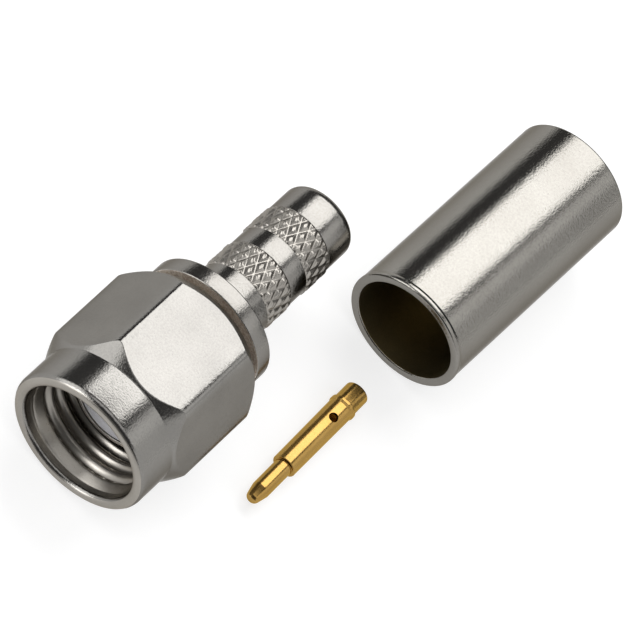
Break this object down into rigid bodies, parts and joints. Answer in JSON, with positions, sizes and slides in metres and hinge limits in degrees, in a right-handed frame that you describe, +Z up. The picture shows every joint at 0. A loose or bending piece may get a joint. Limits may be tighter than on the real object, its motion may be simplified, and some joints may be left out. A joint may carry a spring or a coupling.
{
  "type": "coaxial crimp plug connector",
  "caption": "Coaxial crimp plug with a free-turning hexagon coupling nut and knurled crimp stem, laid out with its loose crimp ferrule and contact pin.",
  "frame": {"origin": "on the plug's axis, in the mating plane at the front face of the contact sleeve", "axes": "+Y along the plug's axis towards the cable end, so the mouth faces -Y; +Z up from the plane it lies on, at z = -4 mm"},
  "size_m": [0.0147, 0.0312, 0.008],
  "materials": {
    "nut_nickel": "satin nickel plate on turned brass",
    "body_nickel": "satin nickel plate on turned and knurled brass",
    "spring_copper": "bare beryllium copper spring wire",
    "gasket_rubber": "moulded silicone rubber",
    "dielectric_ptfe": "turned PTFE",
    "contact_gold": "gold plate on turned brass",
    "ferrule_nickel": "satin nickel plate on drawn tube"
  },
  "bodies": {
    "connector": {"connector_body": "body_nickel", "snap_ring": "spring_copper", "gasket": "gasket_rubber", "dielectric": "dielectric_ptfe", "center_contact": "contact_gold", "crimp_ferrule": "ferrule_nickel"},
    "nut": {"coupling_nut": "nut_nickel"}
  },
  "joints": [
    {"name": "nut_spin", "type": "hinge", "parent": "connector", "child": "nut", "pos_m": [0, 0, 0], "axis": [0, 1, 0], "continuous": true}
  ]
}
